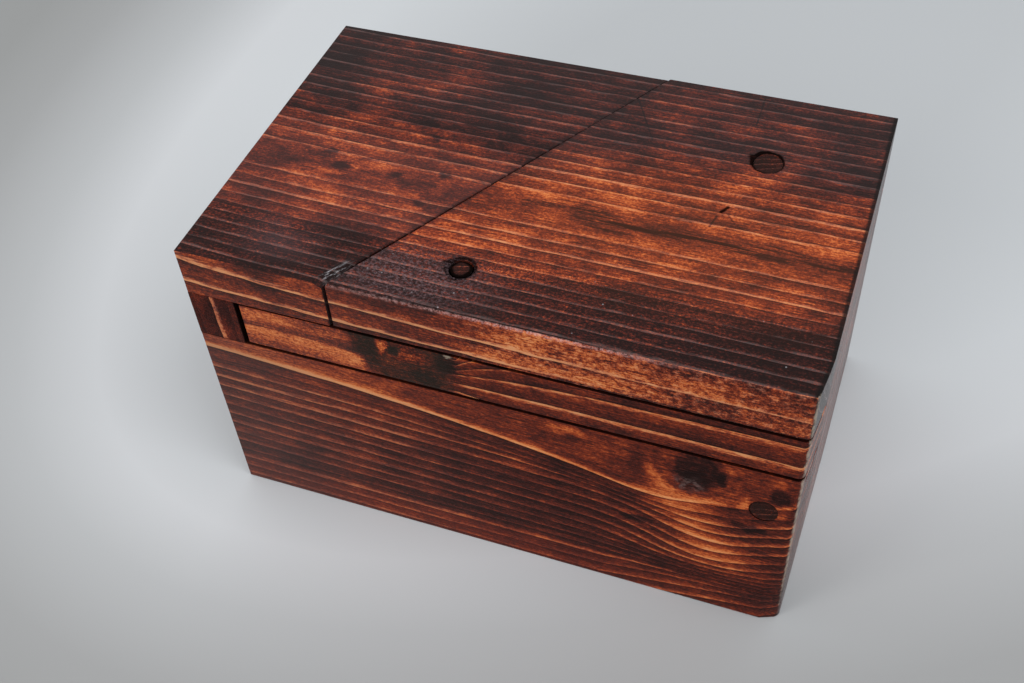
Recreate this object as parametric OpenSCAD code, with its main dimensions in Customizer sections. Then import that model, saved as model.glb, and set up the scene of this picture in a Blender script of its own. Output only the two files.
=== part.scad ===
// Puzzle box of stained pine boards.
// The top is one board sawn across on the slant. Its left half is fixed. Its right half swings
// out to the front on an upright dowel near the back right corner. A strip in the layer below
// slides out to the right, and a pin in the swinging half can be pushed down behind that strip.
// The origin is the middle of the footprint, on the table. +X is right, -Y is the front face.

/* [Lower box] */
// Width of the box, left to right
box_w = 200; // [170:1:240]
// Depth of the box, front to back
box_d = 125.4; // [105:0.2:160]
// Height of the four lower walls
base_h = 79; // [65:0.5:110]
// Thickness of the wall boards, and width of the back and right rails that stand on them
wall_t = 18.5; // [15:0.5:22]
// Thickness of the bottom board
bottom_t = 12; // [6:0.5:18]

/* [Middle layer] */
// Thickness of the middle layer, between the walls and the top
mid_t = 18.8; // [16:0.2:24]
// Width of the left rail, whose end grain shows at the front left corner
left_rail_w = 16.5; // [12:0.5:20]

/* [Top board] */
// Thickness of the top board, the same in both halves
top_t = 18.3; // [14:0.1:24]
// Distance from the left face to the middle of the seam, at the front face
seam_from_left = 51; // [40:0.5:70]
// Angle between the seam and the front face
seam_angle = 60; // [56:0.5:68]
// Width of the seam, which lets the heel of the swinging half pass
seam_gap = 1.2; // [1:0.1:2]
// Height of the swinging half above the rails
lid_lift = 0.6; // [0.3:0.1:0.9]
// Radius worn on the front edge of the swinging half
lid_edge_r = 1.6; // [0.5:0.1:3]
// Radius worn on the front right corner, from the table to the top
corner_r = 2; // [0.5:0.1:4]

/* [Thumb nick] */
// Length of the worn nick along the seam, on the fixed half
nick_l = 18; // [10:0.5:30]
// Width of the nick at the front face
nick_w = 2.6; // [1:0.1:4]
// Depth of the nick at the front face
nick_h = 1.9; // [1:0.1:3]

/* [Pivot] */
// Width of the corner block that carries the pivot
block_w = 33.5; // [26:0.5:40]
// Depth of the corner block, front to back
block_d = 32; // [26:0.5:40]
// Height of the corner block
block_h = 42; // [25:0.5:50]
// Diameter of the pivot dowel
pivot_d = 9.6; // [8:0.1:12]
// Play around the pivot dowel in the block
pivot_play = 0.08; // [0.02:0.01:0.1]
// Diameter of the collar on the lower end of the dowel
collar_d = 22; // [16:0.5:26]
// Thickness of the collar
collar_t = 7; // [4:0.5:10]
// Running gap between the collar and the block
collar_gap = 0.3; // [0.2:0.1:0.8]

/* [Sliding strip] */
// Depth of the strip, front to back
strip_d = 14.8; // [12:0.2:20]
// Open gap between the left rail and the strip
strip_end_gap = 1.7; // [0.5:0.1:3]
// Open gap between the front wall and the strip
strip_under_gap = 1; // [0.4:0.1:2]
// Width of the tongue under the strip
tongue_w = 6; // [4:0.2:8]
// Height of the tongue below the strip
tongue_h = 5; // [3:0.2:8]
// Play around the strip and its tongue
slide_play = 0.3; // [0.2:0.05:0.6]

/* [Lock pin] */
// Distance from the left face to the pin
pin_from_left = 88.7; // [80:0.1:120]
// Gap between the strip and the pin behind it
pin_gap = 0.4; // [0.3:0.1:1]
// Diameter of the pin's head
pin_head_d = 6.8; // [6.2:0.1:8]
// Length of the pin's head
pin_head_l = 7; // [4:0.2:8]
// Open ring around the head
pin_ring = 0.5; // [0.3:0.05:1]
// Diameter of the pin's shank
pin_shank_d = 5.6; // [4:0.1:6]
// Play around the shank
pin_play = 0.1; // [0.05:0.01:0.2]
// How far the pin goes down
pin_travel = 7; // [4:0.2:8]

/* [Wall dowel] */
// Diameter of the dowel that shows in the front face
plug_d = 9.4; // [8:0.1:12]
// Length of the dowel
plug_l = 45; // [35:0.5:60]
// Distance from the right face to the dowel
plug_from_right = 11; // [8:0.1:12]
// Height of the dowel above the table
plug_z = 60.3; // [40:0.1:64]

/* [Hidden] */
$fn = 48;
// Overlap of a cutting shape beyond the face it cuts
cut = 1;

left = -box_w / 2;
right = box_w / 2;
front = -box_d / 2;
back = box_d / 2;

// Heights of the middle layer's top and of the swinging half's underside
rail_top = base_h + mid_t;
lid_z = rail_top + lid_lift;

// Seam: its middle line runs from the front face to the back face
seam_front_x = left + seam_from_left;
seam_back_x = seam_front_x + box_d / tan(seam_angle);
half_gap_x = seam_gap / 2 / sin(seam_angle);

// Upright pivot, in the middle of its block in the back right corner
block_x = right - wall_t - block_w;
block_y = back - wall_t - block_d;
block_z = rail_top - block_h;
pivot_x = block_x + block_w / 2;
pivot_y = block_y + block_d / 2;
collar_z = block_z - collar_gap - collar_t;

// Strip, from the gap beside the left rail to the right face
strip_x = left + left_rail_w + strip_end_gap;
strip_z = base_h + strip_under_gap;
strip_h = mid_t - strip_under_gap - slide_play;
tongue_y = front + strip_d / 2 - tongue_w / 2;
tongue_z = strip_z - tongue_h;

// Pin, just behind the strip, with its head level with the top
pin_x = left + pin_from_left;
pin_y = front + strip_d + pin_gap + pin_shank_d / 2;
pin_bore_h = pin_head_l + pin_travel;

// Wall dowel
plug_x = right - plug_from_right;

stain = [0.30, 0.14, 0.10];
stain_light = [0.42, 0.20, 0.12];
end_grain = [0.24, 0.11, 0.08];
bare_pine = [0.72, 0.55, 0.36];

// Box between two corners
module board(low, high) {
    translate(low)
        cube(high - low);
}

// What is worn off an upright front right corner, to be taken from a board
module corner_wear(z, h) {
    translate([right - corner_r, front + corner_r, z - cut])
        difference() {
            translate([0, -corner_r - cut, 0])
                cube([corner_r + cut, corner_r + cut, h + 2 * cut]);
            translate([0, 0, -cut])
                cylinder(r = corner_r, h = h + 4 * cut);
        }
}

// What is worn off the front top edge of the swinging half
module lid_edge_wear() {
    translate([left, front + lid_edge_r, lid_z + top_t - lid_edge_r])
        rotate([0, 90, 0])
            difference() {
                translate([-lid_edge_r - cut, -lid_edge_r - cut, 0])
                    cube([lid_edge_r + cut, lid_edge_r + cut, box_w + cut]);
                translate([0, 0, -cut])
                    cylinder(r = lid_edge_r, h = box_w + 3 * cut);
            }
}

// Slanting cut that takes the nick off the fixed half's edge, deepest at the front face
module nick_cut() {
    normal = [nick_w * nick_h, nick_l * nick_h, nick_w * nick_l] / norm(
        [nick_w * nick_h, nick_l * nick_h, nick_w * nick_l]);
    reach = 3 * nick_l;
    fade_x = seam_front_x - half_gap_x + nick_l * cos(seam_angle);
    fade_y = front + nick_l * sin(seam_angle);
    translate([fade_x, fade_y, rail_top + top_t])
        rotate([0, 0, seam_angle + 180])
            rotate([0, acos(normal[2]), atan2(normal[1], normal[0])])
                translate([-reach / 2, -reach / 2, 0])
                    cube([reach, reach, nick_h + 2 * nick_w]);
}

module bottom_panel() {
    color(bare_pine)
        board([left + wall_t, front + wall_t, 0], [right - wall_t, back - wall_t, bottom_t]);
}

module wall_dowel_shape(d, l) {
    translate([plug_x, front, plug_z])
        rotate([-90, 0, 0])
            cylinder(d = d, h = l);
}

// Groove along the front wall's top edge, open at the right end for the strip's tongue
module tongue_groove() {
    board([left + left_rail_w, tongue_y - slide_play, tongue_z - slide_play],
        [right + cut, tongue_y + tongue_w + slide_play, base_h + cut]);
}

module front_panel() {
    color(stain_light)
        difference() {
            board([left, front, 0], [right, front + wall_t, base_h]);
            tongue_groove();
            corner_wear(0, base_h);
            translate([0, -cut, 0])
                wall_dowel_shape(plug_d, plug_l + cut);
        }
}

module back_panel() {
    color(stain)
        board([left, back - wall_t, 0], [right, back, base_h]);
}

module left_panel() {
    color(stain)
        board([left, front + wall_t, 0], [left + wall_t, back - wall_t, base_h]);
}

module right_panel() {
    color(stain)
        difference() {
            board([right - wall_t, front + wall_t, 0], [right, back - wall_t, base_h]);
            wall_dowel_shape(plug_d, plug_l);
        }
}

module left_rail() {
    color(end_grain)
        board([left, front, base_h], [left + left_rail_w, back, rail_top]);
}

module back_rail() {
    color(stain)
        board([left + left_rail_w, back - wall_t, base_h], [right, back, rail_top]);
}

module right_rail() {
    color(stain)
        board([right - wall_t, front + strip_d + slide_play, base_h],
            [right, back - wall_t, rail_top]);
}

module pivot_block() {
    color(bare_pine)
        difference() {
            board([block_x, block_y, block_z], [right - wall_t, back - wall_t, rail_top]);
            translate([pivot_x, pivot_y, block_z - cut])
                cylinder(d = pivot_d + 2 * pivot_play, h = block_h + 2 * cut);
        }
}

module fixed_top() {
    color(stain)
        difference() {
            translate([0, 0, rail_top])
                linear_extrude(top_t)
                    polygon([[left, front], [seam_front_x - half_gap_x, front],
                        [seam_back_x - half_gap_x, back], [left, back]]);
            nick_cut();
        }
}

module wall_dowel() {
    color(end_grain)
        wall_dowel_shape(plug_d, plug_l);
}

module lid_half() {
    color(stain_light)
        difference() {
            translate([0, 0, lid_z])
                linear_extrude(top_t)
                    polygon([[seam_front_x + half_gap_x, front], [right, front],
                        [right, back], [seam_back_x + half_gap_x, back]]);
            lid_edge_wear();
            corner_wear(lid_z, top_t);
            translate([pivot_x, pivot_y, lid_z - cut])
                cylinder(d = pivot_d, h = top_t + 2 * cut);
            translate([pin_x, pin_y, lid_z - cut])
                cylinder(d = pin_shank_d + 2 * pin_play, h = top_t + 2 * cut);
            translate([pin_x, pin_y, lid_z + top_t - pin_bore_h])
                cylinder(d = pin_head_d + 2 * pin_ring, h = pin_bore_h + cut);
        }
}

// The dowel is glued into the swinging half and turns in the block
module pivot_dowel() {
    color(end_grain)
        translate([pivot_x, pivot_y, collar_z])
            cylinder(d = pivot_d, h = lid_z + top_t - collar_z);
}

module pivot_collar() {
    color(bare_pine)
        translate([pivot_x, pivot_y, collar_z])
            difference() {
                cylinder(d = collar_d, h = collar_t);
                translate([0, 0, -cut])
                    cylinder(d = pivot_d, h = collar_t + 2 * cut);
            }
}

module slide_strip() {
    color(stain_light)
        difference() {
            union() {
                board([strip_x, front, strip_z], [right, front + strip_d, strip_z + strip_h]);
                board([strip_x, tongue_y, tongue_z], [right, tongue_y + tongue_w, strip_z + cut]);
            }
            corner_wear(tongue_z, tongue_h + strip_h);
        }
}

module lock_pin() {
    color(end_grain)
        translate([pin_x, pin_y, lid_z]) {
            cylinder(d = pin_shank_d, h = top_t - pin_head_l + cut);
            translate([0, 0, top_t - pin_head_l])
                cylinder(d = pin_head_d, h = pin_head_l);
        }
}

bottom_panel();
front_panel();
back_panel();
left_panel();
right_panel();
left_rail();
back_rail();
right_rail();
pivot_block();
fixed_top();
wall_dowel();
lid_half();
pivot_dowel();
pivot_collar();
slide_strip();
lock_pin();
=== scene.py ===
import math
from types import SimpleNamespace

import bmesh
import bpy
from mathutils import Matrix, Vector, noise


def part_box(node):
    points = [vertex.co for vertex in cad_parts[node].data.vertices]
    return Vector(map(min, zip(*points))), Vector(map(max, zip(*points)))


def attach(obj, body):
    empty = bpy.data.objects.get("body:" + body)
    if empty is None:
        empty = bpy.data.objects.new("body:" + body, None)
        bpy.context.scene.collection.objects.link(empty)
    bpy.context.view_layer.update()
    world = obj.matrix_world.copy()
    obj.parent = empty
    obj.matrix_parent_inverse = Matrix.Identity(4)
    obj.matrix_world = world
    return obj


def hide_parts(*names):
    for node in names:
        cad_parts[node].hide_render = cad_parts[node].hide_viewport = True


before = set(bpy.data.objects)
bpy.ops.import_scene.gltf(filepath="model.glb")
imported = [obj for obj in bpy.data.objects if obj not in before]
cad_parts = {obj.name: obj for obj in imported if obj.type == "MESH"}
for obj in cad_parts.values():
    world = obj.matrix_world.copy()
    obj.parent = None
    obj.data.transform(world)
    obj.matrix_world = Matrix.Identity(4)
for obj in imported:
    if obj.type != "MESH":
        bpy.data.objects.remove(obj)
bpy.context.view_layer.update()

MM = 0.001


# Shader formulas

def linear(hexcode):
    """Linear RGBA of an sRGB colour written as six hex digits."""
    parts = [int(hexcode[i:i + 2], 16) / 255 for i in (0, 2, 4)]
    return [p / 12.92 if p <= 0.04045 else ((p + 0.055) / 1.055) ** 2.4 for p in parts] + [1.0]


class Value:
    """A number that varies over a surface. Arithmetic on it adds Math nodes."""

    def __init__(self, graph, socket):
        self.graph = graph
        self.socket = socket

    def __add__(self, other):
        return self.graph.math("ADD", self, other)

    __radd__ = __add__

    def __sub__(self, other):
        return self.graph.math("SUBTRACT", self, other)

    def __rsub__(self, other):
        return self.graph.math("SUBTRACT", other, self)

    def __mul__(self, other):
        return self.graph.math("MULTIPLY", self, other)

    __rmul__ = __mul__

    def __truediv__(self, other):
        return self.graph.math("DIVIDE", self, other)

    def __pow__(self, other):
        return self.graph.math("POWER", self, other)

    def __neg__(self):
        return self.graph.math("MULTIPLY", self, -1.0)


class Graph:
    """A Principled material written as formulas of the point's place in the frame, in mm."""

    def __init__(self, name):
        self.material = bpy.data.materials.new(name)
        self.material.use_nodes = True
        self.nodes = self.material.node_tree.nodes
        self.links = self.material.node_tree.links
        self.shader = self.nodes["Principled BSDF"]
        coords = self.nodes.new("ShaderNodeTexCoord")
        place = self.nodes.new("ShaderNodeVectorMath")
        place.operation = "SCALE"
        place.inputs["Scale"].default_value = 1 / MM
        self.links.new(coords.outputs["Object"], place.inputs[0])
        self.x, self.y, self.z = self.split(place.outputs[0])
        self.nx, self.ny, self.nz = self.split(coords.outputs["Normal"])

    def split(self, socket):
        node = self.nodes.new("ShaderNodeSeparateXYZ")
        self.links.new(socket, node.inputs[0])
        return [Value(self, out) for out in node.outputs]

    def put(self, thing, socket):
        if isinstance(thing, Value):
            self.links.new(thing.socket, socket)
        else:
            socket.default_value = thing

    def math(self, operation, *args, clamp=False):
        node = self.nodes.new("ShaderNodeMath")
        node.operation = operation
        node.use_clamp = clamp
        for arg, socket in zip(args, node.inputs):
            self.put(arg, socket)
        return Value(self, node.outputs[0])

    def clamp(self, value):
        return self.math("ADD", value, 0.0, clamp=True)

    def least(self, a, b):
        return self.math("MINIMUM", a, b)

    def most(self, a, b):
        return self.math("MAXIMUM", a, b)

    def size(self, value):
        return self.math("ABSOLUTE", value)

    def root(self, value):
        return self.math("SQRT", value)

    def exp(self, value):
        return self.math("POWER", math.e, value)

    def bell(self, value):
        """exp(-value squared)"""
        return self.exp(-(value * value))

    def step(self, value, low, high):
        """0 below low, 1 above high and smooth between; falls if low is above high."""
        node = self.nodes.new("ShaderNodeMapRange")
        node.interpolation_type = "SMOOTHSTEP"
        flip = low > high
        self.put(value, node.inputs["Value"])
        node.inputs["From Min"].default_value = min(low, high)
        node.inputs["From Max"].default_value = max(low, high)
        node.inputs["To Min"].default_value = 1.0 if flip else 0.0
        node.inputs["To Max"].default_value = 0.0 if flip else 1.0
        return Value(self, node.outputs["Result"])

    def vector(self, *parts):
        node = self.nodes.new("ShaderNodeCombineXYZ")
        for part, socket in zip(parts, node.inputs):
            self.put(part, socket)
        return node.outputs[0]

    def noise(self, *place, detail=2.0, rough=0.5):
        """Soft noise around 0, mostly between -0.6 and 0.6."""
        node = self.nodes.new("ShaderNodeTexNoise")
        node.inputs["Scale"].default_value = 1.0
        node.inputs["Detail"].default_value = detail
        node.inputs["Roughness"].default_value = rough
        self.links.new(self.vector(*place), node.inputs["Vector"])
        return (Value(self, node.outputs[0]) - 0.5) * 3.0

    def cells(self, *place):
        """Distance to the nearest of scattered points, and a random number for that point."""
        node = self.nodes.new("ShaderNodeTexVoronoi")
        node.inputs["Scale"].default_value = 1.0
        self.links.new(self.vector(*place), node.inputs["Vector"])
        return Value(self, node.outputs["Distance"]), self.split(node.outputs["Color"])[0]

    def lot(self, value):
        """A random number, 0 to 1, for each different value."""
        node = self.nodes.new("ShaderNodeTexWhiteNoise")
        node.noise_dimensions = "1D"
        self.put(value, node.inputs["W"])
        return Value(self, node.outputs["Value"])

    def ramp(self, value, stops, interpolation="LINEAR"):
        """The colour at value on a ramp of (place, colour) stops."""
        node = self.nodes.new("ShaderNodeValToRGB")
        node.color_ramp.interpolation = interpolation
        elements = node.color_ramp.elements
        while len(elements) < len(stops):
            elements.new(0.5)
        for element, (place, _) in zip(elements, stops):
            element.position = place
        for element, (_, colour) in zip(elements, stops):
            element.color = colour
        self.put(value, node.inputs["Fac"])
        return node.outputs["Color"]

    def curve(self, value, points):
        """A smooth curve through (place, level) points, levels 0 to 1."""
        low, high = points[0][0], points[-1][0]
        stops = [((p - low) / (high - low), [v, v, v, 1.0]) for p, v in points]
        return Value(self, self.ramp((value - low) / (high - low), stops, "EASE"))

    def mix(self, factor, a, b):
        node = self.nodes.new("ShaderNodeMix")
        node.data_type = "RGBA"
        self.put(factor, node.inputs["Factor"])
        colours = [s for s in node.inputs if s.type == "RGBA"]
        for thing, socket in zip((a, b), colours):
            if isinstance(thing, list):
                socket.default_value = thing
            else:
                self.links.new(thing, socket)
        return [s for s in node.outputs if s.type == "RGBA"][0]

    def attribute(self, name):
        node = self.nodes.new("ShaderNodeAttribute")
        node.attribute_name = name
        return Value(self, node.outputs["Fac"])

    def line(self, a, b, start, end, width):
        """1 on the straight mark from start to end in the plane of a and b, 0 beyond its width."""
        ax, ay = start
        dx, dy = end[0] - ax, end[1] - ay
        length2 = dx * dx + dy * dy
        t = self.clamp(((a - ax) * dx + (b - ay) * dy) / length2)
        away = self.root((a - ax - t * dx) ** 2 + (b - ay - t * dy) ** 2)
        return self.step(away, width, width * 0.3)

    def blob(self, a, b, centre, radii, soft):
        """1 inside an ellipse, 0 outside it."""
        ra = (a - centre[0]) / radii[0]
        rb = (b - centre[1]) / radii[1]
        return self.step(self.root(ra * ra + rb * rb), 1 + soft, 1 - soft)

    def finish(self, colour, rough, height, depth):
        """Writes colour, roughness and a height, whose relief is depth mm for each 1, to the shader."""
        self.links.new(colour, self.shader.inputs["Base Color"])
        self.put(rough, self.shader.inputs["Roughness"])
        bump = self.nodes.new("ShaderNodeBump")
        bump.inputs["Strength"].default_value = 1.0
        bump.inputs["Distance"].default_value = depth * MM
        self.put(height, bump.inputs["Height"])
        self.links.new(bump.outputs[0], self.shader.inputs["Normal"])
        return self.material


# Colours

# Stain, from the darkest earlywood to the palest latewood line
STAIN = [(0.0, linear("190b09")), (0.15, linear("2c1310")), (0.3, linear("451d17")),
         (0.45, linear("63261a")), (0.6, linear("89371f")), (0.74, linear("b55129")),
         (0.87, linear("d6743d")), (1.0, linear("ee9d63"))]
# Bare pine, from a latewood line to pale earlywood
BARE = [(0.0, linear("8a5a30")), (0.35, linear("b98650")), (0.7, linear("d2a56c")),
        (1.0, linear("e4c391"))]
BLACK = "0b0706"    # painted shade in gaps, and dark pits, cracks and edges
WORN = "b7a491"     # wood rubbed bare along an edge
DIM_LINE = "6e6361"     # latewood lines where the stain is dark
PALE_LINE = "c09078"    # latewood lines where it is paler
# Tints of the top: grey at the back, which is a painted reflection, pink and shine on the fixed half,
# both painted sheen, and a painted highlight on its nick, then those of the lid half, where the gloss
# reflection and the highlight on the front rim are painted
REFLECTED_GREY, FRONT_GREY, PINK, SHEEN, NICK_HIGHLIGHT = "4f4546", "7a5a52", "96625c", "7c6468", "c2bcc0"
GOLD, REFLECTION_MAUVE, DUST, RIM_HIGHLIGHT = "8a4716", "8c7276", "b9b3b6", "cf9f99"
# Tints of the front wall, the strip and the dowels; GLEAM is a painted sheen, GLINT a painted glint
FOOT_RED, LEFT_GREY, MIDDLE_GREY, GLEAM = "7a2a1e", "574b49", "54423e", "9c7f7a"
STRIP_GREY, KNOT_DARK, GLINT, DOWEL_DARK = "8d665c", "2a271e", "b9a894", "2a1d19"
END_SHINE = 0.36    # what the varnish shines more on the two ends of the box
END_SMOOTH = 0.14   # how much smoother it is there
RELIEF = 0.2        # depth of the grain, in mm


# Places on the box, in mm

def box_of(node):
    """The lowest and the highest corner of a solid."""
    return [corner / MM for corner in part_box(node)]


def middle_of(node):
    """The middle of a solid."""
    low, high = box_of(node)
    return (low + high) / 2


front_low, front_high = box_of("front_panel")
lid_low, lid_high = box_of("lid_half")
LEFT, RIGHT, FRONT = front_low.x, front_high.x, front_low.y
LID_FOOT, LID_TOP = lid_low.z, lid_high.z
FIXED_TOP = box_of("fixed_top")[1].z
INNER_X, INNER_Y = box_of("right_panel")[0].x, box_of("back_panel")[0].y
LEFT_RAIL_INNER = box_of("left_rail")[1].x
PIN_AT, PIVOT_AT = middle_of("lock_pin").xy, middle_of("pivot_dowel").xy
WALL_DOWEL_AT = middle_of("wall_dowel").xz
# The saw cut of the top: its front end, and its direction
SEAM_START, SEAM_ALONG = (-49.0, FRONT), (0.5, 0.866)
# The right face leans in by LEAN at the front edge, over the last LEAN_REACH,
# and by FOOT_LEAN at the corner by the table, fading out as far back as FOOT_END
LEAN, LEAN_REACH, FOOT_LEAN, FOOT_END = 1.5, 14.0, 1.1, 15.0
# The lean starts LEAN_WIDTH in from the face, and the foot's wear FOOT_HEIGHT above the table
LEAN_WIDTH, FOOT_HEIGHT = 12.0, 34.0
# The corner by the table is cut back by CORNER_CUT, over the last CORNER_REACH of the front
CORNER_CUT, CORNER_REACH = 2.4, 6.6
# The lid half's sawn face comes closer to the other half, by CLOSER at the back
CLOSER = 0.65
# Extra cuts across the boards that end at the worn front right edge, in from the right face
EDGE_CUTS = [RIGHT - d for d in (6.6, 5, 3.6, 2.4, 1.8, 1.2, 0.7)]
# The heart of the top board: its place, its first ring and the rings' spacing
HEART_Y, HEART_Z, HEART_R, RING = -12.9, 120.7, 9.37, 4.25
# The middle of the front wall's large knot, x from the left end of the wall
KNOT_X, KNOT_Z = 167.3, 72.8
# The bright ring in the left rail's end
RAIL_RING_X = -91.9

# Stain level from front to back: (y, level)
LID_TONES = [(-63, 0.13), (-52, 0.14), (-41, 0.18), (-36.5, 0.38), (-29, 0.48), (-20, 0.53),
             (-12, 0.57), (-2, 0.56), (8, 0.51), (16, 0.41), (22, 0.33), (28, 0.26), (45, 0.24),
             (63, 0.2)]
FIXED_TONES = [(-63, 0.1), (-54, 0.11), (-46, 0.22), (-38, 0.3), (-32, 0.4), (-26, 0.44),
               (-12, 0.44), (2, 0.46), (8, 0.36), (15, 0.29), (24, 0.22), (45, 0.22), (54, 0.2),
               (63, 0.15)]
# Marks: (centre, half lengths, change of stain level, softness)
LID_MARKS = [((67, 17.5), (12, 6.5), 0.17, 0.8), ((90, -46), (16, 14), -0.08, 0.9),
             ((-16, -22), (15, 10), 0.13, 0.9), ((4, -37), (27, 6), 0.07, 0.9),
             ((-12, -4), (10, 8), 0.05, 0.9), ((1.4, 20), (6, 3), -0.1, 0.8),
             ((12, -48), (20, 7), 0.07, 0.9), ((36, -40), (6, 3), -0.12, 0.8),
             ((79, 14), (2, 1.2), -0.2, 0.6), ((60, -37), (3, 1.5), -0.12, 0.7)]
FIXED_MARKS = [((-32.6, -6.4), (2, 1.5), -0.4, 0.4), ((-67.3, -10.5), (3.5, 2), -0.4, 0.4),
               ((-74, -5), (2.4, 1.3), -0.32, 0.4), ((-48.3, -9.8), (2.4, 1.2), -0.36, 0.4),
               ((-42.8, 10.6), (1.5, 1.5), -0.25, 0.5), ((-36, -20.7), (2, 1.6), -0.3, 0.5),
               ((-59, -5.5), (3, 0.8), -0.25, 0.5), ((-80, -12), (5, 1.0), -0.2, 0.5),
               ((-63.5, -10.2), (2.4, 0.7), 0.24, 0.5), ((-69, -14.4), (4, 0.9), 0.24, 0.5),
               ((-56, -13.4), (6, 0.7), 0.16, 0.7), ((-50, 18.7), (6, 3), -0.16, 0.8),
               ((-54, -40), (10, 4), -0.24, 0.7), ((-45, -33), (5, 4), -0.12, 0.8),
               ((-16, 33), (18, 22), -0.08, 0.9), ((-63, -29), (14, 6), 0.05, 0.9),
               ((-62, 31), (16, 4), 0.06, 0.9), ((-92, 40), (14, 24), -0.13, 0.9),
               ((-63, 9), (13, 7), 0.14, 0.9), ((-91, -18), (14, 17), -0.08, 0.9),
               ((-66, -15), (10, 3), -0.08, 0.9)]
# Dark streaks along the heart, on the lid half
HEART_STREAKS = [((14, -8.6), (8, 1.4), -0.6, 0.5), ((0, -10.6), (7, 1.2), -0.4, 0.5),
                 ((27, -11.8), (13, 2.0), -0.6, 0.5), ((50, -12.2), (15, 2.0), -0.6, 0.5),
                 ((70, -12.4), (11, 1.8), -0.45, 0.5), ((77, -9.0), (9, 1.2), -0.4, 0.5),
                 ((24, -15.8), (9, 1.2), -0.3, 0.5), ((90, -11.0), (9, 1.6), -0.45, 0.5)]
# Cracks in the lid half: (start, end, width, depth)
LID_CRACKS = [((55.2, -0.4), (54.2, -5.6), 0.5, 0.3), ((58.2, 1.4), (60.4, -1.4), 0.4, 0.2),
              ((15.9, 49.3), (26.4, 29.5), 0.4, 0.24), ((56.6, 62), (56.9, 46), 0.35, 0.24)]
# Black pits beside the lid half's dowel and pin: (centre, radius)
LID_PITS = [((59.2, 30.2), 1.3), ((-15.6, -42.6), 1.5), ((-17, -43.4), 1.0)]
# On the front wall, x from its left end: broad shades, then marks with ragged edges
FRONT_SHADES = [((48, 62), (52, 11), 0.1, 0.8), ((118, 68), (22, 10), -0.07, 0.8),
                ((118, 34), (38, 24), -0.05, 0.8), ((24, 9), (55, 12), -0.05, 0.8),
                ((191, 48), (12, 8), 0.07, 0.8), ((190, 73), (12, 6), -0.08, 0.8)]
FRONT_MARKS = [((126.5, 75.4), (7, 2.2), 0.32, 0.6), ((135, 69), (5, 3), 0.14, 0.8),
               ((157.5, 59.6), (4.5, 2), 0.16, 0.8), ((160, 55.4), (9, 3), 0.2, 0.8),
               ((150, 57), (6, 2), 0.12, 0.8), ((172, 57.5), (5, 1.6), 0.14, 0.8),
               ((178, 76), (4, 1.6), 0.16, 0.7), ((192, 74.5), (3, 2), 0.18, 0.7),
               ((182.8, 61), (1.5, 3.4), 0.28, 0.7), ((195, 62), (2, 3.6), 0.24, 0.6),
               ((168.4, 72.4), (8, 7), -0.4, 0.3), ((166.4, 66.4), (5.2, 5), -0.24, 0.4),
               ((175.6, 70), (1.5, 2.8), -0.28, 0.5), ((149, 69), (2.8, 7), -0.18, 0.6),
               ((193, 68.5), (3.2, 4), -0.3, 0.4), ((184.8, 49.6), (5, 2), -0.34, 0.5),
               ((150, 39), (4.5, 1.5), -0.26, 0.5), ((148, 41.6), (5, 1.1), 0.16, 0.6),
               ((153, 36.4), (5, 1.0), 0.14, 0.6)]
# On the strip, x from the front wall's left end
STRIP_MARKS = [((26, 94.2), (11, 3.4), 0.26, 0.6), ((40, 93), (8, 2), 0.12, 0.8),
               ((67.3, 94), (1.8, 3.4), 0.38, 0.6), ((75, 93.5), (7, 4.5), 0.12, 0.5),
               ((71.2, 93.6), (2.1, 2.1), -0.42, 0.35), ((61.5, 91), (3.8, 9), -0.2, 0.45),
               ((88.6, 93.3), (3.6, 4.2), -0.34, 0.4), ((81, 84), (4.5, 4.2), -0.16, 0.5),
               ((58.5, 85), (3.4, 1.4), 0.2, 0.7)]
# How strong the front wall's lines are: (height, strength)
FRONT_LINES = [(0, 0.6), (5, 0.75), (8, 0.5), (13, 0.85), (17.2, 0.1), (22, 0.6), (27, 0.45),
               (33, 0.5), (39, 0.7), (49, 0.7), (54, 0.85), (58, 1.0), (64, 0.8), (73, 1.0)]


# Woods

def grain(g, rings, along, across, thick, seed, flip=False, width=0.2, even=0.6, spread=0.6):
    """The pattern of softwood whose growth rings are counted by rings."""
    ring = g.math("FLOOR", rings)
    part = rings - ring
    if flip:
        part = 1 - part
    own = g.lot(ring + seed)
    fade = g.noise(along * 0.021, ring * 3.7, seed)
    flick = g.noise(along * 0.14, across * 1.1, thick * 1.1 + seed, detail=3, rough=0.6)

    def fibres(length, cross, shift, rough):
        return g.noise(along * length, across * cross, thick * cross + shift, detail=4, rough=rough)

    return SimpleNamespace(
        part=part, own=own,
        crest=g.step(part + 0.14 * own + 0.14 * flick, 1.04 - width, 1.04),
        strength=g.clamp(even + spread * (own - 0.5) + 0.5 * fade + 0.6 * flick),
        streak=fibres(0.06, 2.3, seed, 0.65),
        fleck=fibres(0.5, 1.9, -seed, 0.7),
        grit=fibres(1.0, 1.25, 0.0, 0.8),
        mottle=fibres(0.12, 0.26, -seed, 0.65),
        clouds=fibres(0.05, 0.08, seed, 0.6))


def pale(g, look):
    """Bare pine's colour."""
    level = 0.72 - 0.5 * look.crest * look.strength - 0.12 * look.part
    return g.ramp(g.clamp(level + 0.09 * look.streak + 0.05 * look.clouds), BARE)


def varnish(g, look, colour, rough, gloss, dull=0.0):
    """Puts a wood colour under a thin satin varnish, dull in gaps, brighter on the ends of the box."""
    ends = g.step(g.size(g.nx), 0.7, 0.95)
    g.put(gloss - gloss * dull + END_SHINE * ends, g.shader.inputs["Specular IOR Level"])
    height = 0.5 * look.crest * look.own + 0.2 * look.streak + 0.16 * look.fleck
    rough = rough + 0.07 * look.streak - 0.06 * look.crest - END_SMOOTH * ends
    return g.finish(colour, g.clamp(rough), height, RELIEF)


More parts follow.
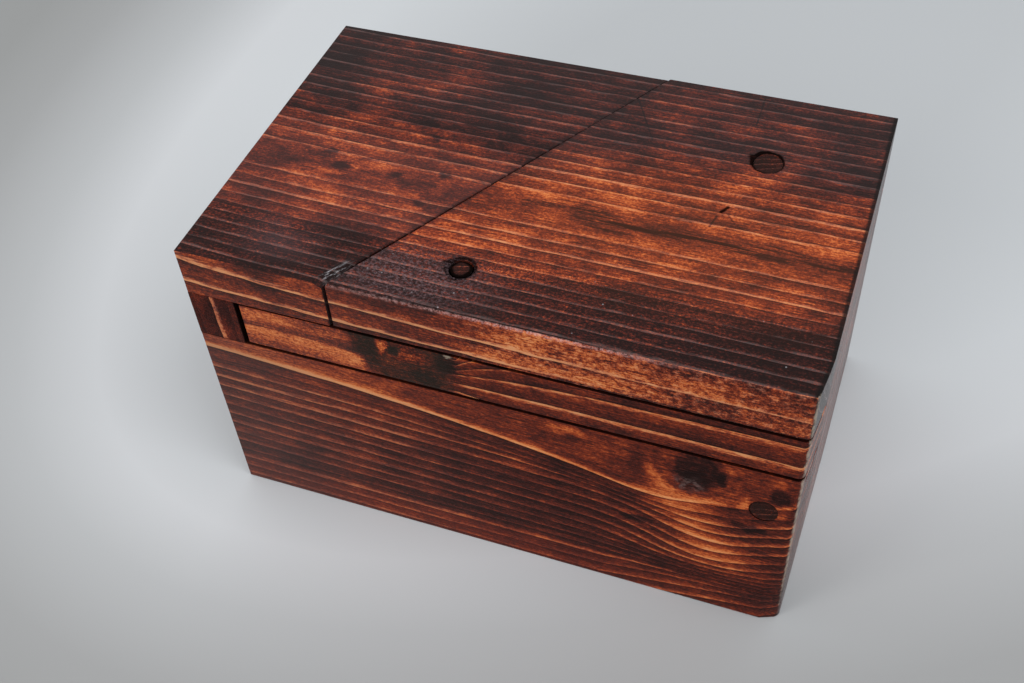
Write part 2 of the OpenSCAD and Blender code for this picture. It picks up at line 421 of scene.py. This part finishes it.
def stained(g, look, tone, lines=0.3, glow=0.12, dark=0.1, under=0.1, fibre=0.16, blotch=0.1,
            grit=0.16, end=0.0, bloom=0.7, bare=None, rough=0.45, gloss=0.12, dull=0.0, tints=()):
    """Stained softwood; tone is the stain's level before the grain, tints are laid over it."""
    early = 1 - look.part
    ridge = lines * look.crest * look.strength
    level = tone + glow * (look.part ** 2) - dark * (early ** 2) + ridge - under * (early ** 8)
    level = level + 1.7 * fibre * (look.streak + look.fleck) + grit * look.grit
    level = level + blotch * (2 * look.clouds + 1.2 * look.mottle) - 0.06 * end
    level = level + g.attribute("wear") * (0.12 * g.step(look.clouds, 0.06, 0.4) - 0.06)
    # A soft floor and a soft ceiling keep the darkest and palest spots apart
    level = 0.5 * (level + g.root(level * level + 0.012))
    level = g.least(level, 0.45 * level + 0.46)
    colour = g.ramp(g.clamp(level), STAIN)
    dim = g.step(tone, 0.5, 0.3)
    colour = g.mix(g.least(bloom * ridge, 0.36) * dim, colour, linear(DIM_LINE))
    colour = g.mix(g.least(bloom * ridge, 0.26) * (1 - dim), colour, linear(PALE_LINE))
    for share, tint in tints:
        colour = g.mix(g.clamp(share), colour, linear(tint))
    if bare is not None:
        colour = g.mix(bare, colour, pale(g, look))
        rough = rough + 0.3 * bare
    return varnish(g, look, colour, rough, gloss, dull)


def marked(g, a, b, marks):
    """The change of stain level that a list of marks makes in the plane of a and b."""
    change = 0.0
    for centre, radii, depth, soft in marks:
        change = change + depth * g.blob(a, b, centre, radii, soft)
    return change


def facing(value):
    """1 where a face looks along the axis of this part of its normal, either way."""
    return value.graph.step(value.graph.size(value), 0.7, 0.9)


def from_seam(x, y):
    """How far a place is from the saw cut, towards the lid half, and how far along it."""
    dx, dy = x - SEAM_START[0], y - SEAM_START[1]
    return dx * SEAM_ALONG[1] - dy * SEAM_ALONG[0], dx * SEAM_ALONG[0] + dy * SEAM_ALONG[1]


def leaned(g):
    """How far the right face leans in at this place, above the foot."""
    return LEAN * g.clamp(1 - (g.y - FRONT) / LEAN_REACH)


def worn_edge(g):
    """Where the front right edge is rubbed pale."""
    ragged = g.noise(g.x * 0.45, g.y * 0.45, g.z * 0.3, detail=5, rough=0.75)
    side = g.step(RIGHT - leaned(g) - g.x - 0.7 * ragged, 0.6, 0.1)
    return 0.7 * side * g.step(g.y - FRONT - 1.6 * ragged, 2.6, 0.6)


def top_rings(g, wave):
    """Counts the top board's rings from its heart, which runs lengthways just above the board."""
    x, y, z = g.x, g.y, g.z
    wander = g.noise(x * 0.011, y * 0.045, z * 0.03)
    drift = 1.9 * g.exp((x - LEFT) * -0.03)
    dy = y - HEART_Y - drift + 0.35 * wander
    dy = dy * (0.969 - 0.00014 * x + g.step(dy, -1, 1) * (0.00014 * x - 0.079))
    dz = (z - HEART_Z) * 1.37
    return (g.root(dy * dy + dz * dz) + 0.28 * wave - HEART_R) / RING + 21


def top_board(name, tones, marks, lid):
    """Both halves of the top are one board, so the rings run on across the saw cut."""
    g = Graph(name)
    x, y, z = g.x, g.y, g.z
    wave = g.noise(x * 0.07, y * 0.3, z * 0.2, detail=3)
    front = g.step(g.ny, -0.5, -0.8)
    top = 1 - front
    off_seam, up_seam = from_seam(x, y)
    patches = g.noise(x * 0.016, y * 0.05, z * 0.02, detail=4, rough=0.65)
    sway = 6 * patches
    if lid:
        calm = g.step(y, -26, -34)
        sway = (6 - 4.5 * calm) * patches + 5.5 * g.step(x, 38, -6) * g.step(y, -20, -34)
    tone = g.curve(y + sway, tones) - 0.1 * top * g.step(g.size(off_seam), 2.2, 0.6)
    far, chance = g.cells(x * 0.11, y * 0.9, z * 0.9)
    tone = tone - 0.16 * g.step(far, 0.3, 0.1) * g.step(chance, 0.5, 0.55)
    rag_x = x + 3 * g.noise(x * 0.15, y * 0.35, 4.0, detail=4, rough=0.65)
    rag_y = y + 1.3 * g.noise(x * 0.15, y * 0.35, 9.0, detail=4, rough=0.65)
    tone = tone + top * marked(g, rag_x, rag_y, marks)
    if lid:
        streaks = marked(g, rag_x, y + 0.02 * x - 0.6 + 0.4 * wave, HEART_STREAKS)
        fissure = g.noise(x * 0.045, (y + 0.02 * x) * 0.85, 7.0, detail=4, rough=0.6)
        tone = tone + top * streaks * g.step(fissure, -0.08, 0.08)
        tone, tints, dull = lid_marks(g, tone, front, top)
    else:
        tone, tints, dull = fixed_marks(g, tone, front, top, patches, off_seam, up_seam)
    look = grain(g, top_rings(g, wave), x, y, z, 3.0, even=0.6 + 0.3 * front, spread=0.6 - 0.5 * front)
    deep = top * g.step(y, -34, -42)
    lines = 0.22 + 0.68 * front + 0.02 * deep
    lines = lines * (1 - front * g.step(z - LID_FOOT, 2.4, 1.4) * g.step(x, -10, 25))
    lines = lines * (1 - 0.75 * front * g.step(x, 5, 45))
    # Painted reflection: the top greys towards the back
    grey = 0.1 * top * g.step(y + 14 * g.step(x, 40, 5) * g.step(off_seam, -1, 1), 12, 34)
    grey_front = 0.06 * front * g.step(x, 0, -40)
    return stained(g, look, tone, lines=lines, under=0.12, blotch=0.17 - 0.09 * deep,
                   grit=0.38 + 0.3 * deep, bloom=1.9, gloss=0.1, dull=dull, end=facing(g.nx),
                   tints=[(grey, REFLECTED_GREY), (grey_front, FRONT_GREY)] + tints)


def fixed_marks(g, tone, front, top, patches, off_seam, up_seam):
    """What only the fixed half shows: the nick by the seam with a painted highlight, a painted pink
    sheen, and a painted shine near the left end.
    """
    x, y, z = g.x, g.y, g.z
    tone = tone + front * (0.44 - tone)
    nick = g.step(z - FIXED_TOP, -2.5, -1.9) * g.step(off_seam, -4.6, -3.2)
    nick = nick * g.step(up_seam, 15, 11) * g.step(up_seam, 0.6, 2.4)
    glimmer = g.noise(up_seam * 0.3, off_seam * 1.9, z * 1.2, detail=5, rough=0.75)
    # Painted light: a highlight streaking the nick, a pink sheen across the middle and a sheen by the
    # left front
    nick_glint = 0.85 * nick * g.step(up_seam, 15, 3) * g.step(glimmer, 0.0, 0.5)
    pink = 0.08 * top * g.step(y, 12, -2) * g.step(y, -42, -32)
    sheen = 0.15 * top * g.blob(x, y, (-70, -47), (14, 8), 0.8) * g.step(patches, -0.3, 0.3)
    return tone - 0.25 * nick, [(pink, PINK), (sheen, SHEEN), (nick_glint, NICK_HIGHLIGHT)], 0.0


def lid_marks(g, tone, front, top):
    """What only the swinging half shows: its rubbed front edge with a painted highlight along the rim,
    cracks, dowel rings with painted shade, dust, and a painted gloss reflection near the front left.
    """
    x, y, z = g.x, g.y, g.z
    speckle = g.noise(x * 0.34, 2.0, z * 0.55, detail=7, rough=0.85)
    rubbed = g.step(x + 12 * g.noise(x * 0.05, 5.0, z * 0.2), -16, 12)
    spots = g.step(g.noise(x * 0.16, 12.0, z * 0.2, detail=4, rough=0.7), 0.3, 0.6) * g.step(x, 40, 60)
    face = 0.37 + 0.1 * g.bell((x - 22) / 26) - 0.09 * g.step(x, 48, 66) - 0.22 * spots
    face = face + rubbed * (0.06 + 0.2 * g.step(z - LID_FOOT, 0.1, 3.6) + 0.85 * speckle)
    tone = tone + front * (face - tone) - 0.05 * top * g.step(x, 74, 90)
    for start, end, width, depth in LID_CRACKS:
        tone = tone - top * depth * g.line(x, y, start, end, width)
    chip = g.noise(x * 0.4, y * 0.4, 1.0, detail=4, rough=0.6)
    from_pin = g.root((x - PIN_AT.x + 0.25) ** 2 + (y - PIN_AT.y - 0.2) ** 2) + 0.6 * chip
    from_pivot = g.root((x - PIVOT_AT.x + 0.45) ** 2 + (y - PIVOT_AT.y - 0.6) ** 2) + 0.6 * chip
    # Painted shade: black round the pin and the dowel, wider than the gaps round them; the pits and the
    # slash are real marks
    black = g.most(g.step(from_pin, 5.4, 4.7), g.step(from_pivot, 5.8, 5.2))
    for place, radius in LID_PITS:
        black = g.most(black, g.blob(x + 0.6 * chip, y, place, (radius, radius * 0.8), 0.5))
    black = top * g.most(black, g.line(x + 0.4 * chip, y, (57.6, 4.4), (56.0, 1.8), 0.9))
    smudge = g.most(g.step(from_pin, 8, 4), g.step(from_pivot, 9, 5))
    behind = g.step(y - FRONT, 5.0, 1.6) * g.step(x, -36, -10)
    tone = tone - top * (0.1 * smudge + 0.1 * behind)
    speck, lucky = g.cells(x * 0.42, y * 0.42, 0.0)
    dust = g.step(speck, 0.15, 0.08) * g.step(lucky, 0.8, 0.82) * g.step(y, -34, -44) * top
    # Painted light: a highlight along the front rim, and a gloss reflection on the top by the front
    # left
    highlight_grit = g.noise(x * 0.9, y * 1.2, z * 1.2, detail=4, rough=0.8)
    rim = g.step(z - LID_TOP, -1.6, -0.8) * g.step(y - FRONT, 0.75, 0.4) * g.step(highlight_grit, -0.35, 0.5)
    rim = rim * (0.35 + 0.5 * g.bell((x - 18) / 34)) * g.step(x, 70, 45)
    gloss_reflection = g.step(highlight_grit, -0.2, 0.6) * g.blob(x, y, (-26, -52), (22, 10), 0.8) * top
    gold = top * g.blob(x, y, (50, -12), (62, 26), 0.7)
    rim_right = g.step(g.nz, 0.3, 0.6) * g.step(x + leaned(g) + 0.3 * chip - RIGHT, -1.6, -0.8)
    tints = [(0.12 * gold, GOLD), (0.85 * rim_right, BLACK), (0.94 * black, BLACK),
             (0.6 * gloss_reflection, REFLECTION_MAUVE), (0.4 * dust, DUST), (rim, RIM_HIGHLIGHT),
             (0.42 * front * rubbed * g.step(speckle, 0.0, 0.5), PALE_LINE), (worn_edge(g), WORN)]
    return tone, tints, black


def front_board():
    """The front wall: lines that sweep under a large knot, and a plain band above them."""
    g = Graph("pine_front")
    x, y, z = g.x - LEFT, g.y, g.z
    wander = g.noise(x * 0.012, y * 0.04, z * 0.05)
    wave = g.noise(x * 0.06, y * 0.2, z * 0.3, detail=3)
    sweep = 11.9 * g.bell((x - 173) / 24) * g.step(z, 9, 27)
    lean = 3.0 * g.least(x / 98, 1.25) * g.step(z, 10, 30)
    lift = 0.00058 * x * x * g.step(z + 0.0006 * x * x, 58, 70) * g.step(x, 175, 140)
    rise = 0.17 * g.most(x - 138, 0.0) * g.step(z, 24, 8)
    base = z + sweep + lean + lift - rise + 0.4 * wander + 0.25 * wave
    # Ring 40 is the first line under the plain band
    rings = (72.6 - base + 0.1 * (y - FRONT)) / 5.05 + 40
    ringed = g.step(rings, 39.0, 39.05)
    jag_x = x + 2.4 * g.noise(x * 0.16, 6.0, z * 0.16, detail=5, rough=0.65)
    jag_z = z + 2.4 * g.noise(x * 0.16, 16.0, z * 0.16, detail=5, rough=0.65)
    knot_x, knot_z = jag_x - KNOT_X, jag_z - KNOT_Z
    knot = g.root(knot_x * knot_x + knot_z * knot_z)
    halo = g.step(knot, 17, 11)
    swirl = g.math("SINE", knot * 1.9) * g.step(knot, 19, 12)
    crescent = g.bell((knot - 15) / 1.7) * g.clamp(0.3 - 0.05 * knot_x - 0.03 * knot_z)
    crescent = crescent * g.step(knot_z, -1, -6)
    flame_x = x - 175 + 16 * g.step(z, 30, 62)
    flames = g.bell(flame_x / 11) * g.step(z, 16, 30) * g.step(z, 63, 57) * g.step(rings, 39.6, 40.2)
    meeting = g.bell((z - 16) / 4) * g.step(x, 150, 165)
    patches = g.noise(x * 0.02, 4.0, z * 0.05, detail=3)
    band = (0.19 + 0.07 * g.step(x, 80, 45)) * g.step(rings, 40.0, 39.9)
    tone = 0.29 + band + 0.07 * patches + 0.42 * flames - 0.06 * meeting
    tone = tone + 0.08 * g.step(z, 17, 12) * g.step(x, 195, 170) + 0.06 * g.step(x, 85, 40)
    tone = tone + marked(g, x, z, FRONT_SHADES)
    tone = tone - 0.08 * g.bell((z - 18.5) / 2.2) * g.step(x, 150, 120)
    first = g.step(rings, 39.1, 39.98) * g.step(rings, 40.03, 39.99)
    tone = tone + 0.33 * first * first * (1 - halo) * g.step(x, 164, 140)
    tone = tone + 0.26 * crescent + 0.05 * swirl + marked(g, jag_x, jag_z, FRONT_MARKS)
    strength = g.curve(base, FRONT_LINES)
    strength = strength + (1 - strength) * g.step(x, 135, 160) * g.step(z, 18, 26)
    strength = strength * (1 - 0.55 * g.step(x, 181, 191) * g.step(z, 43, 35)) * (1 - 0.7 * meeting)
    lines = ringed * (0.46 * strength - 0.22 * flames) * (1 - g.bell((rings - 40.9) / 0.3))
    lines = lines * (1 - 0.16 * g.bell((x - 112) / 34)) * (1 - 0.85 * halo)
    lines = lines * (1 - g.step(x, 160, 175) * g.bell((rings - 40) / 0.3))
    cracks = g.noise(jag_x * 0.4, 3.0, jag_z * 0.4, detail=5, rough=0.75)
    # Painted sheen: a grey-pink gleam below the knot
    gleam = g.blob(jag_x, jag_z, (165.6, 64.2), (3.6, 3.2), 0.8) * g.step(cracks, -0.25, 0.5)
    # Painted shade: the wall's top face, seen in the gap under the strip, is black
    gap_shade = g.step(g.nz, 0.3, 0.7) * g.step(y - FRONT, 5, 2)
    red = g.step(z, 16, 10) * g.step(x, 170, 120)
    inside = g.step(y + INNER_Y, -1.2, -0.4) * g.step(g.size(g.x) - INNER_X, 0.7, -0.3)
    look = grain(g, rings, g.x, y, z, 11.0, width=0.4, spread=0.2)
    return stained(g, look, tone, lines=lines, glow=ringed * (0.12 + 0.1 * flames),
                   dark=(0.1 + 0.14 * flames) * g.step(rings, 39.95, 40.0), grit=0.25,
                   bloom=0.25 + 0.7 * g.step(x, 110, 40), end=facing(g.nx), bare=inside,
                   gloss=0.06, dull=gap_shade,
                   tints=[(0.15 * red, FOOT_RED), (0.26 * g.step(x, 64, 4), LEFT_GREY),
                          (0.1 * g.step(x, 130, 60), MIDDLE_GREY), (0.5 * gleam, GLEAM),
                          (0.9 * gap_shade, BLACK), (worn_edge(g), WORN)])


def strip_board():
    """The sliding strip: a knot left of the middle, pale flames beside it, long lines to the right."""
    g = Graph("pine_strip")
    x, y, z = g.x - LEFT, g.y, g.z
    wave = g.noise(x * 0.05, y * 0.2, z * 0.25, detail=3)
    right = g.most(x - 92, 0.0)
    middle = 94.6 - 5.4 * g.exp(right / -22)
    above = 8.7 - 6.4 * g.exp(right / -28)
    below = 9.0 - 5.0 * g.exp(right / -25)
    drop = middle - z + 0.3 * wave + 0.25 * (y - FRONT)
    upper = g.step(drop, 0.01, -0.01)
    rings = drop * (upper / above + (1 - upper) / below) + 12
    jag_x = x + 2.4 * g.noise(x * 0.2, 6.0, z * 0.2, detail=6, rough=0.7)
    jag_z = z + 1.8 * g.noise(x * 0.2, 16.0, z * 0.2, detail=6, rough=0.7)
    left = g.step(jag_x + 0.35 * (z - 88), 64, 55)
    lined = g.step(jag_x, 86, 94)
    zone = (1 - lined) * (1 - left)
    flame = g.noise(x * 0.035, 9.0, (z + 0.03 * x) * 0.35, detail=5, rough=0.6)
    arch = z - 89.4 + 0.0024 * ((x - 30) ** 2)
    bough = g.step(arch, 0.4, -0.4) * g.step(arch, -10, -1.5)
    tone = 0.35 + 0.03 * lined + left * (0.17 + 0.16 * flame + 0.34 * bough) - 0.06 * zone
    tone = tone - 0.14 * left * g.bell((arch - 1.6) / 1.2) + marked(g, jag_x, jag_z, STRIP_MARKS)
    face = g.step(g.ny, -0.6, -0.9)
    # Painted glint: a pale spot on the strip's front face, above its black spot
    glint = face * g.blob(jag_x, jag_z, (89.2, 96.4), (1.0, 0.6), 0.6)
    # Painted shade: the strip's top face in the gap under the lid, and its left end face, are black
    gap_shade = g.most(g.step(g.nz, 0.3, 0.7) * g.step(y - FRONT, 4, 1.5), g.step(g.nx, -0.3, -0.7))
    knot_dark = 0.45 * zone * g.step(tone, 0.42, 0.3)
    look = grain(g, rings, g.x, y, z, 17.0, flip=True, spread=0.2)
    return stained(g, look, tone, lines=0.66 * lined, bloom=0.4, under=0.1 * lined, glow=0.16 * lined,
                   dark=0.1 * lined, grit=0.28 + 0.3 * zone + 0.2 * left, end=facing(g.nx),
                   gloss=0.07, dull=gap_shade,
                   tints=[(0.1 * left, STRIP_GREY), (knot_dark, KNOT_DARK), (0.55 * glint, GLINT),
                          (0.9 * gap_shade, BLACK), (worn_edge(g), WORN)])


def rail_board():
    """The left rail, which runs front to back: its end grain shows one bright ring at the front."""
    g = Graph("pine_left_rail")
    x, y, z = g.x, g.y, g.z
    wave = g.noise(x * 0.12, y * 0.02, z * 0.12)
    wander = 5 * g.noise(x * 0.05, y * 0.012, z * 0.07) * g.step(y, -61, -25)
    rings = (x - RAIL_RING_X + 0.035 * (z - 88) + 0.4 * wave + wander) / 6.2 + 9
    front = g.step(g.ny, -0.5, -0.8)
    shown = front * g.step(g.size(x - RAIL_RING_X), 3.4, 2.6) + g.step(g.ny, -0.8, -0.5)
    tone = 0.38 + 0.07 * g.noise(x * 0.06, y * 0.02, z * 0.06, detail=3)
    # Painted shade: the rail's inner face, seen in the gap at the strip's left end, is black
    slot_shade = g.step(g.nx, 0.3, 0.7) * g.step(y, -48.5, -49.5)
    inside = g.step(x - LEFT_RAIL_INNER, -1.1, -0.4) * g.step(y, -47.5, -45) * g.step(y, 45, 44)
    look = grain(g, rings, y, x, z, 41.0, flip=True, width=0.26)
    return stained(g, look, tone, lines=(0.36 + 0.2 * front) * shown, under=0.1 * shown, glow=0.04,
                   gloss=0.04, end=facing(g.ny), bare=inside, dull=slot_shade, tints=[(0.92 * slot_shade, BLACK)])


def wall_board(name, seed, lengthways, inner, within):
    """A plain stained wall or rail, bare on its inside face at inner, as far along as within."""
    g = Graph(name)
    z = g.z
    along, thick, grain_end = (g.x, g.y, g.nx) if lengthways else (g.y, g.x, g.ny)
    wander = g.noise(along * 0.011, thick * 0.04, z * 0.045 + seed)
    wave = g.noise(along * 0.06, thick * 0.2, z * 0.3)
    dz = z - 52 + 3 * wander
    deep = (g.size(thick) - 40) * 1.2
    rings = (g.root(dz * dz + deep * deep) + 0.2 * wave) / 4.9 + seed
    tone = 0.32 + 0.12 * g.noise(along * 0.02, thick * 0.05, z * 0.06 + seed, detail=3)
    inside = g.step(g.size(thick) - inner, 1.1, 0.3) * g.step(g.size(along) - within, 0.7, -0.3)
    return stained(g, grain(g, rings, along, z, thick, seed), tone, lines=0.32, end=facing(grain_end),
                   bare=inside)


def bare_board():
    """Plain sanded pine, inside the box."""
    g = Graph("pine_bare")
    x, y, z = g.x, g.y, g.z
    wander = g.noise(x * 0.011, y * 0.04, z * 0.04 + 5.0)
    look = grain(g, (y * 0.9 + 0.5 * z + 3 * wander) / 6.3, x, y, z, 5.0)
    return varnish(g, look, pale(g, look), rough=0.75, gloss=0.12)


def dowel_wood(name, upright, centre, seed, middle, rim, reach, ring):
    """Dark stained dowel: end grain from its middle tone to its rim tone at reach, then a ring of
    painted shade.
    """
    g = Graph(name)
    along, a, b = (g.z, g.x, g.y) if upright else (g.y, g.x, g.z)
    wave = g.noise(a * 0.25, b * 0.25, along * 0.02 + seed)
    rings = (b * 0.94 - a * 0.34 + 0.45 * wave) / 2.3 + 60
    away = g.root((a - centre[0]) ** 2 + (b - centre[1]) ** 2)
    ragged = g.noise(a * 0.6, b * 0.6, seed, detail=4, rough=0.6)
    tone = middle + (rim - middle) * g.step(away + 0.5 * wave, reach - 1.4, reach) + 0.06 * wave
    # Painted shade: a black ring at the rim, where the gap round the pin's head is
    black = ring * g.step(away + 0.5 * ragged, reach - 0.4, reach + 0.3)
    return stained(g, grain(g, rings, along, a, b, seed), tone, lines=0.3, glow=0.06, fibre=0.2,
                   grit=0.3, rough=0.4, gloss=0.03, dull=black,
                   tints=[(0.5 - 0.3 * wave, DOWEL_DARK), (0.95 * black, BLACK)])


# Pieces

WELD = 0.004 * MM                   # points closer than this are one
CUT_SLACK = 0.002 * MM              # a cut this close to a point goes through it
FLAT = math.radians(0.6)            # faces that meet flatter than this become one
SHARP = math.radians(28)            # edges sharper than this are eased
CREASE = math.radians(40)           # edges sharper than this are shaded as edges
RUB_DEPTH = 0.14 * MM               # how deep the eased edges are rubbed
BROAD_RUB, FINE_RUB = 9 * MM, 2.7 * MM      # the sizes of the rubbing's hollows


def share(value):
    """value, kept between 0 and 1."""
    return max(0.0, min(1.0, value))


def dress(node, body, material, cuts, ease=0.7, segments=3, shape=None, fine_x=()):
    """A board made from its solid: edges eased by ease mm, cut fine enough for wear, worn by shape."""
    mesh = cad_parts[node].data.copy()
    mesh.materials.clear()
    mesh.materials.append(material)
    board = bpy.data.objects.new(node + "_wood", mesh)
    bpy.context.scene.collection.objects.link(board)
    bm = bmesh.new()
    bm.from_mesh(mesh)
    bmesh.ops.remove_doubles(bm, verts=bm.verts, dist=WELD)
    bmesh.ops.dissolve_limit(bm, angle_limit=FLAT, verts=bm.verts, edges=bm.edges)
    sharp = [e for e in bm.edges if len(e.link_faces) == 2 and e.calc_face_angle(0) > SHARP]
    result = bmesh.ops.bevel(bm, geom=sharp, offset=ease * MM, offset_type="OFFSET", segments=segments,
                             profile=0.5, affect="EDGES", clamp_overlap=True)
    eased = set(result["faces"])
    wear = bm.verts.layers.float.new("wear")
    for v in bm.verts:
        v[wear] = 1.0 if v.link_faces and all(f in eased for f in v.link_faces) else 0.0
    low = [min(v.co[i] for v in bm.verts) for i in range(3)]
    high = [max(v.co[i] for v in bm.verts) for i in range(3)]
    planes = [(i, low[i] + (high[i] - low[i]) * k / n) for i, n in enumerate(cuts) for k in range(1, n)]
    for i, place in planes + [(0, x * MM) for x in fine_x]:
        at = Vector((0, 0, 0))
        at[i] = place
        normal = Vector((0, 0, 0))
        normal[i] = 1
        bmesh.ops.bisect_plane(bm, geom=bm.verts[:] + bm.edges[:] + bm.faces[:], dist=CUT_SLACK,
                               plane_co=at, plane_no=normal)
    bmesh.ops.dissolve_degenerate(bm, dist=WELD, edges=bm.edges)
    bm.normal_update()
    for v in bm.verts:
        if v[wear] > 0.3:
            rub = 0.5 + 0.5 * noise.noise(v.co / BROAD_RUB) + 0.35 * noise.noise(v.co / FINE_RUB)
            v.co -= v.normal * RUB_DEPTH * max(0.0, rub) * v[wear]
        if shape:
            v.co += shape(v.co / MM) * MM
    bm.to_mesh(mesh)
    bm.free()
    for polygon in mesh.polygons:
        polygon.use_smooth = True
    mesh.set_sharp_from_angle(angle=CREASE)
    even = board.modifiers.new("even", "WEIGHTED_NORMAL")
    even.keep_sharp = True
    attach(board, body)
    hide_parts(node)


def worn_corner(p):
    """The right face leans in at the front edge and by the table, where the corner is cut back."""
    front = max(0.0, 1 - (p.y - FRONT) / LEAN_REACH)
    low = max(0.0, 1 - p.z / FOOT_HEIGHT)
    reach = max(0.0, 1 - (RIGHT - p.x) / CORNER_REACH)
    side = max(0.0, 1 - (RIGHT - p.x) / LEAN_WIDTH)
    foot = FOOT_LEAN * max(0.0, (FOOT_END - p.y) / (FOOT_END - FRONT))
    lean = LEAN * front * (1 - low) + foot * low
    return Vector((-lean * side, CORNER_CUT * low * reach * front, 0))


def lid_wear(p):
    """The lid half's worn corner, and its sawn face, which comes closer at the back."""
    off, up = from_seam(p.x, p.y)
    closer = CLOSER * share((2.2 - off) / 1.2) * share((up - 35) / 80)
    return worn_corner(p) + Vector((-closer / SEAM_ALONG[1], 0, 0))


back_wood = wall_board("pine_back", 23.0, True, INNER_Y, INNER_X)
side_wood = wall_board("pine_sides", 31.0, False, INNER_X, INNER_Y)
raw_wood = bare_board()
fixed_wood = top_board("pine_fixed_half", FIXED_TONES, FIXED_MARKS, lid=False)
lid_wood = top_board("pine_lid_half", LID_TONES, LID_MARKS, lid=True)
wall_dowel_wood = dowel_wood("dowel_front", False, WALL_DOWEL_AT, seed=7.0, middle=0.21, rim=0.15,
                             reach=4.9, ring=0.0)
pivot_wood = dowel_wood("dowel_pivot", True, PIVOT_AT, seed=13.0, middle=0.08, rim=0.02,
                        reach=4.9, ring=0.0)
pin_wood = dowel_wood("dowel_pin", True, PIN_AT, seed=19.0, middle=0.25, rim=0.16,
                      reach=2.5, ring=1.0)

dress("fixed_top", "box", fixed_wood, ease=0.3, cuts=(20, 24, 4))
dress("lid_half", "lid", lid_wood, ease=0.5, cuts=(40, 24, 4), shape=lid_wear,
      fine_x=EDGE_CUTS)
dress("front_panel", "box", front_board(), ease=0.25, cuts=(60, 4, 16), shape=worn_corner,
      fine_x=EDGE_CUTS)
dress("slide_strip", "strip", strip_board(), ease=0.3, cuts=(60, 3, 6), shape=worn_corner,
      fine_x=EDGE_CUTS)
dress("left_rail", "box", rail_board(), ease=0.12, cuts=(3, 12, 3))
dress("back_panel", "box", back_wood, cuts=(20, 2, 8))
dress("back_rail", "box", back_wood, cuts=(20, 2, 3))
dress("left_panel", "box", side_wood, cuts=(2, 12, 8))
dress("right_panel", "box", side_wood, cuts=(3, 12, 12), shape=worn_corner)
dress("right_rail", "box", side_wood, cuts=(2, 12, 3))
dress("bottom_panel", "box", raw_wood, ease=0.4, cuts=(10, 6, 2))
dress("pivot_block", "box", raw_wood, ease=0.6, cuts=(3, 3, 3))
dress("pivot_collar", "lid", raw_wood, ease=0.6, cuts=(2, 2, 2))
dress("wall_dowel", "box", wall_dowel_wood, ease=0.5, cuts=(1, 4, 1))
dress("pivot_dowel", "lid", pivot_wood, ease=0.5, cuts=(1, 1, 4))
dress("lock_pin", "pin", pin_wood, ease=1.5, segments=5, cuts=(1, 1, 3))


# Stage

FLOOR_SIZE, FLOOR_DROP = 4.0, 0.0002    # half its width and how far it lies under the box, in m
FLOOR_AT = (-74, 24)                    # where the floor's painted light and shade is measured from, in mm
# The floor's grey, from there outwards, holding painted light and shade
FLOOR_LIGHT_FALLOFF = [(0.14, linear("bcbec0")), (0.4, linear("cfd1d3")), (0.54, linear("d1d2d4")),
               (0.68, linear("b9babb")), (0.85, linear("a3a3a3")), (1.0, linear("999998"))]
WORLD_COLOUR, WORLD_LEVEL = (0.95, 0.98, 1.0, 1.0), 0.82


def make_floor():
    bm = bmesh.new()
    bmesh.ops.create_grid(bm, x_segments=8, y_segments=8, size=FLOOR_SIZE)
    mesh = bpy.data.meshes.new("floor")
    bm.to_mesh(mesh)
    bm.free()
    floor = bpy.data.objects.new("floor", mesh)
    floor.location = (0, 0, -FLOOR_DROP)
    bpy.context.scene.collection.objects.link(floor)
    g = Graph("floor_painted_light")
    # Painted light and shade: the floor's colour is palest in a band round FLOOR_AT and darkens
    # outwards
    dx, dy = (g.x - FLOOR_AT[0]) / 100, (g.y - FLOOR_AT[1]) / 100
    across, deep = 0.476 * dx - 0.127 * dy, 0.4 * dy
    away = g.root(across * across + deep * deep) - 0.103 * dx - 0.311 * dy
    g.links.new(g.ramp(away / 1.5, FLOOR_LIGHT_FALLOFF), g.shader.inputs["Base Color"])
    g.shader.inputs["Roughness"].default_value = 0.6
    g.shader.inputs["Specular IOR Level"].default_value = 0.2
    mesh.materials.append(g.material)


def area_light(name, place, target, size, power, colour):
    data = bpy.data.lights.new(name, "AREA")
    data.shape = "DISK"
    data.size = size
    data.energy = power
    data.color = colour
    lamp = bpy.data.objects.new(name, data)
    lamp.location = place
    lamp.rotation_euler = (Vector(target) - Vector(place)).to_track_quat("-Z", "Y").to_euler()
    bpy.context.scene.collection.objects.link(lamp)


def make_world():
    world = bpy.data.worlds.new("studio")
    world.use_nodes = True
    background = world.node_tree.nodes["Background"]
    background.inputs["Color"].default_value = WORLD_COLOUR
    background.inputs["Strength"].default_value = WORLD_LEVEL
    bpy.context.scene.world = world


def make_camera():
    """A camera fitted to the corners and edges of the box in the photograph."""
    data = bpy.data.cameras.new("camera")
    data.sensor_fit = "HORIZONTAL"
    data.sensor_width = 36.0
    data.lens = 44.64
    data.clip_start = 0.01
    camera = bpy.data.objects.new("camera", data)
    place = Vector((0.10908, -0.28827, 0.38079))
    right = Vector((0.93762, 0.34353, -0.05342))
    up = Vector((-0.22094, 0.70742, 0.67137))
    toward = Vector((0.26842, -0.61769, 0.73919))
    turn = Matrix((right, up, toward)).transposed().to_4x4()
    camera.matrix_world = Matrix.Translation(place) @ turn
    bpy.context.scene.collection.objects.link(camera)
    bpy.context.scene.camera = camera


make_floor()
make_world()
area_light("window", place=(-0.55, -0.75, 0.75), target=(0, 0, 0.06), size=0.4, power=2.4,
           colour=(1.0, 0.98, 0.96))
area_light("ceiling", place=(0.75, -0.25, 1.1), target=(0, 0, 0.05), size=0.9, power=4.8,
           colour=(0.97, 0.98, 1.0))
make_camera()
bpy.context.scene.view_settings.view_transform = "Standard"
